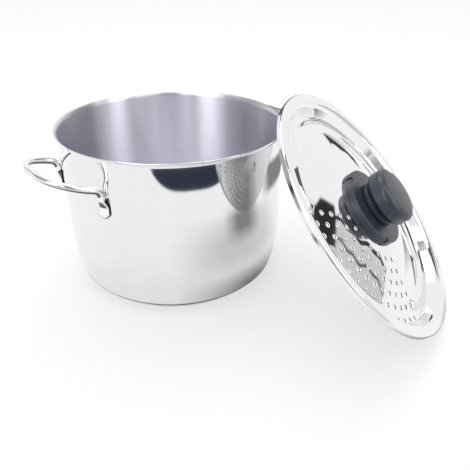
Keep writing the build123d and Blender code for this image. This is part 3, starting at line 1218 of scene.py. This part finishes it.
HUNG_FLAGS = (
    Flag(name="left_inside", turn=(28, 80), rise=(5, 70), level=0.12, radius=0.20,
         centre=(0.0, 0.0, 0.160)),
    Flag(name="high_right", turn=(4, 28), rise=(36, 80), level=0.12, radius=3.0),
    Flag(name="table_end", turn=(-25, 19), rise=(-5, 21), level=0.66, radius=2.4, side=0.8,
         centre=LID_SIDE),
    Flag(name="table_seam", turn=(18.4, 20.2), rise=(-6, 21), level=0.03, radius=2.3, side=0.8,
         centre=LID_SIDE),
    Flag(name="table_crack", turn=(11.0, 12.2), rise=(-3, 19), level=0.12, radius=2.25, side=0.9,
         centre=LID_SIDE),
    Flag(name="table_top", turn=(7, 25), rise=(19, 27), level=0.03, radius=2.2, wave=1.6,
         centre=LID_SIDE, soft=0.08),
    Flag(name="back_corner", turn=(51, 66), rise=(-16, 8), level=0.04, radius=2.4, side=1.0,
         centre=LID_SIDE),
    Flag(name="low_front", turn=(205, 305), rise=(-1, 15), level=0.08, radius=2.6, soft=0.35),
    Flag(name="left_low", turn=(153, 189), rise=(11, 24), level=0.04, radius=2.6, soft=0.2))

# right_side, between, foot_shade and foot_line are painted shadow: darker mats, seen only in
# reflections, that stand in for the shadows of the pot and the lid on the floor.
FLOOR_MATS = (
    Mat(name="far_front", turn=(205, 305), reach=(0.65, 3.2), level=0.08, soft=0.2),
    Mat(name="front_dark", turn=(248, 322), reach=(0.385, 0.485), level=0.045, bow=0.10, soft=0.06,
        tint=(0.75, 0.9, 1.35)),
    Mat(name="right_side", turn=(262, 372), reach=(0.115, 0.300), level=0.66, soft=0.4),
    Mat(name="between", turn=(308, 348), reach=(0.205, 0.32), level=0.26, soft=0.35),
    Mat(name="side_grey", turn=(-6, 64), reach=(0.28, 0.41), level=0.26, soft=0.2),
    Mat(name="foot_shade", turn=(266, 372), reach=(0.070, 0.140), level=0.22, soft=0.45),
    Mat(name="foot_line", turn=(140, 385), reach=(0.082, 0.106), level=0.04, soft=0.25))


@dataclass
class Room:
    """Pale floor, white surroundings, soft lamp, cloths for the steel to reflect, and camera.

    A streak is the first bearing, the last bearing and the brightness of a tall cloth that the
    brushed inside of the pot shows as an upright band.
    """

    eye_distance: float = 0.50035
    eye_height: float = 0.31781
    yaw: float = math.radians(7.339)
    pitch: float = math.radians(30.331)
    roll: float = math.radians(0.393)
    focal_share: float = 511.1 / 470
    handle_bearing: float = math.radians(33.5)
    floor_reach: float = 6.0
    floor_drop: float = 0.0002
    floor_glow: float = 0.6
    mat_step: float = 0.0004
    lamp_place: Triple = (0.3, 0.5, 1.6)
    lamp_size: float = 0.9
    lamp_power: float = 8.0
    lamp_aim: Triple = (0.05, -0.08, 0.08)
    sensor: float = 36.0
    near_limit: float = 0.01
    streak_rise: Pair = (10, 80)
    streak_radius: float = 3.2
    streaks: "tuple[Triple, ...]" = (
        (-6, 4, 3.0), (344, 354, 0.8), (325, 344, 4.5), (308, 325, 0.5), (303, 308, 2.5),
        (292, 303, 0.7), (287, 292, 1.5), (256, 287, 0.35), (247, 256, 2.0), (236, 247, 0.9),
        (215, 236, 4.5), (205, 215, 1.6), (140, 205, 0.45))

    def camera(self) -> None:
        """Put the camera where the photograph was taken from."""
        bearing = -math.pi / 2 - self.handle_bearing
        eye = np.array([self.eye_distance * math.cos(bearing), self.eye_distance * math.sin(bearing),
                        self.eye_height])
        look = math.pi / 2 - self.yaw - self.handle_bearing
        ahead = np.array([math.cos(look) * math.cos(self.pitch), math.sin(look) * math.cos(self.pitch),
                          -math.sin(self.pitch)])
        right = np.array([math.sin(look), -math.cos(look), 0.0])
        up = np.cross(right, ahead)
        side = math.cos(self.roll) * right + math.sin(self.roll) * up
        up = np.cross(side, ahead)
        lens = bpy.data.cameras.new("view")
        lens.sensor_width = self.sensor
        lens.lens = self.sensor * self.focal_share
        lens.clip_start = self.near_limit
        made = add_object("view", lens)
        turn = np.column_stack([side, up, -ahead, eye])
        made.matrix_world = Matrix([*turn.tolist(), [0, 0, 0, 1]])
        bpy.context.scene.camera = made

    def white_seen(self, recipe: Recipe) -> Tap:
        """1 for rays from the camera, from a reflection or through glass, and 0 for others."""
        path = recipe.node("ShaderNodeLightPath").socket.node.outputs
        seen = Tap(recipe, path["Is Camera Ray"]) + Tap(recipe, path["Is Glossy Ray"])
        seen = seen + Tap(recipe, path["Is Transmission Ray"])
        return seen.over(0.5)

    def sky(self) -> None:
        """Plain white surroundings that light the object softly."""
        world = bpy.data.worlds.new("soft_white")
        bpy.context.scene.world = world
        world.use_nodes = True
        tree = world.node_tree
        tree.nodes["Background"].inputs["Color"].default_value = (1, 1, 1, 1)
        tree.nodes["Background"].inputs["Strength"].default_value = 1.0

    def floor(self) -> None:
        """Pale floor that shows white to the camera and keeps the object's shadow."""
        recipe = Recipe("pale_floor")
        diffuse = recipe.node("ShaderNodeBsdfDiffuse", {}, {"Color": (0.9, 0.9, 0.89, 1)})
        glow = recipe.node("ShaderNodeEmission", {}, {"Color": (1, 1, 1, 1), "Strength": 1.0})
        factor = self.white_seen(recipe) * self.floor_glow
        recipe.finish(recipe.node("ShaderNodeMixShader", {}, {0: factor, 1: diffuse, 2: glow}))
        mesh = bpy.data.meshes.new("floor")
        far, low = self.floor_reach, -self.floor_drop
        mesh.from_pydata([(-far, -far, low), (far, -far, low), (far, far, low), (-far, far, low)], [],
                         [(0, 1, 2, 3)])
        mesh.materials.append(recipe.material)
        add_object("floor", mesh)

    def lamp(self, name: str, place: Triple, size: float, power: float) -> None:
        """Add a soft square lamp that faces the object.

        Args:
            name: of the lamp.
            place: of its middle.
            size: of its side.
            power: in watts.
        """
        data = bpy.data.lights.new(name, "AREA")
        data.size, data.energy = size, power
        made = add_object(name, data)
        made.location = place
        aim = Vector(self.lamp_aim) - Vector(place)
        made.rotation_euler = aim.to_track_quat("-Z", "Y").to_euler()

    def assemble(self) -> None:
        """Build the surroundings."""
        self.sky()
        self.floor()
        self.lamp("lamp_top", self.lamp_place, self.lamp_size, self.lamp_power)
        streaks = tuple(Flag(name="streak_%d" % number, turn=(first, last), rise=self.streak_rise,
                             level=level, radius=self.streak_radius)
                        for number, (first, last, level) in enumerate(self.streaks))
        for flag in streaks + HUNG_FLAGS:
            flag.hang(flag.points(self.handle_bearing))
        for layer, mat in enumerate(FLOOR_MATS, 1):
            mat.hang(mat.points(self.handle_bearing, self.mat_step * layer))
        self.camera()
        bpy.context.scene.view_settings.view_transform = "Standard"


def dress(name: str, material: bpy.types.Material) -> None:
    """Give a node's own mesh a finish."""
    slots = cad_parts[name].material_slots
    for place in slots:
        place.material = material
    if not slots:
        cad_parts[name].data.materials.append(material)


def main() -> None:
    """Build the pot, the lid, the knob and the room in order."""
    logging.basicConfig(level=logging.INFO, format="%(name)s %(message)s")
    mirror = Steel("steel_mirror", shade=(0.80, 0.80, 0.81), roughness=0.045, smear=0.03,
                   grain=Grain.ROUND, line_strength=0.05)
    # The inside's lavender tint and shade are painted reflection: they stand in for lavender light
    # reflected by the brushed wall.
    inside = Steel("steel_brushed_inside", tint=(0.90, 0.885, 0.94), shade=(0.76, 0.75, 0.81),
                   roughness=0.34, smear=0.08, grain=Grain.ROUND, line_strength=0.3, stretch=0.97)
    lid_steel = Steel("steel_mirror_lid", roughness=0.05, smear=0.04,
                      grain=Grain.RINGS, line_strength=0.03)
    wire = Wire()
    under = Steel("steel_satin_base", roughness=0.30, smear=0.10, grain=Grain.RINGS, line_strength=0.4)
    pot = Pot()
    pot.assemble(mirror.make(), inside.make(), under.make(), wire.make())
    lid = Lid(pot)
    lid.assemble(lid_steel.make())
    Knob(lid).assemble(Bakelite().make())
    brass = PlainMetal("brass_insert", (0.78, 0.60, 0.30), (0.62, 0.46, 0.22))
    aluminium = PlainMetal("aluminium_core", (0.82, 0.83, 0.85), (0.72, 0.73, 0.75))
    zinc = PlainMetal("screw_steel_plain", (0.74, 0.75, 0.77), (0.60, 0.61, 0.63))
    dress("knob_insert", brass.make())
    dress("base_core", aluminium.make())
    screw = zinc.make()
    dress("knob_screw", screw)
    dress("knob_washer", screw)
    Room().assemble()


if __name__ == "__main__":
    main()
